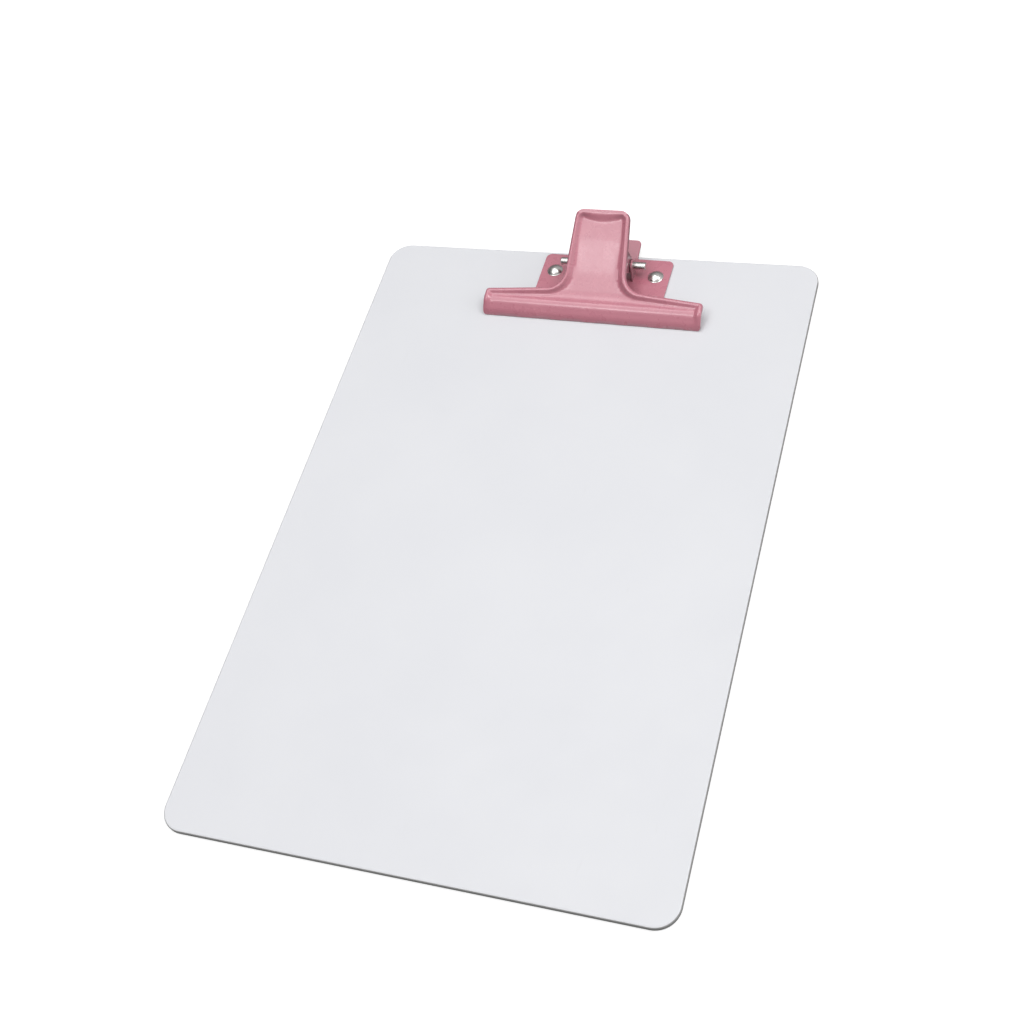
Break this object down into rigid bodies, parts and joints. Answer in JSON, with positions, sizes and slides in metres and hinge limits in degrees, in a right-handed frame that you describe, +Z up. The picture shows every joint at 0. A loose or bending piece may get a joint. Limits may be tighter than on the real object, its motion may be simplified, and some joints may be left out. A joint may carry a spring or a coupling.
{
  "type": "clipboard",
  "caption": "Office clipboard: flat rectangular board with rounded corners and a riveted, sprung lever clip at one end that grips a stack of paper.",
  "frame": {"origin": "centre of the board's underside, which is the flat face that the clipboard rests on", "axes": "+Y along the board's length to the clip end, +X to the right across its width, +Z up out of the writing face"},
  "size_m": [0.23, 0.3494, 0.0336],
  "materials": {
    "board": "white moulded sheet, satin",
    "clip_paint": "dusty pink enamel on pressed steel, semi-gloss",
    "nickel": "bright nickel plating",
    "spring_steel": "dark drawn spring wire, lightly oiled"
  },
  "bodies": {
    "base": {"board": "board", "base_plate": "clip_paint", "hinge_pin": "nickel", "torsion_spring": "spring_steel", "rivet_left": "nickel", "rivet_right": "nickel", "washer_left": "nickel", "washer_right": "nickel"},
    "lever": {"lever": "clip_paint"}
  },
  "joints": [
    {"name": "lever_hinge", "type": "hinge", "parent": "base", "child": "lever", "pos_m": [0.0071, 0.1574, 0.0102], "axis": [-0.9999, 0.014, 0], "range_deg": [0, 25], "stiffness_Nm_per_rad": 0.6, "springref_deg": -40.11, "deforming": ["torsion_spring"]}
  ]
}
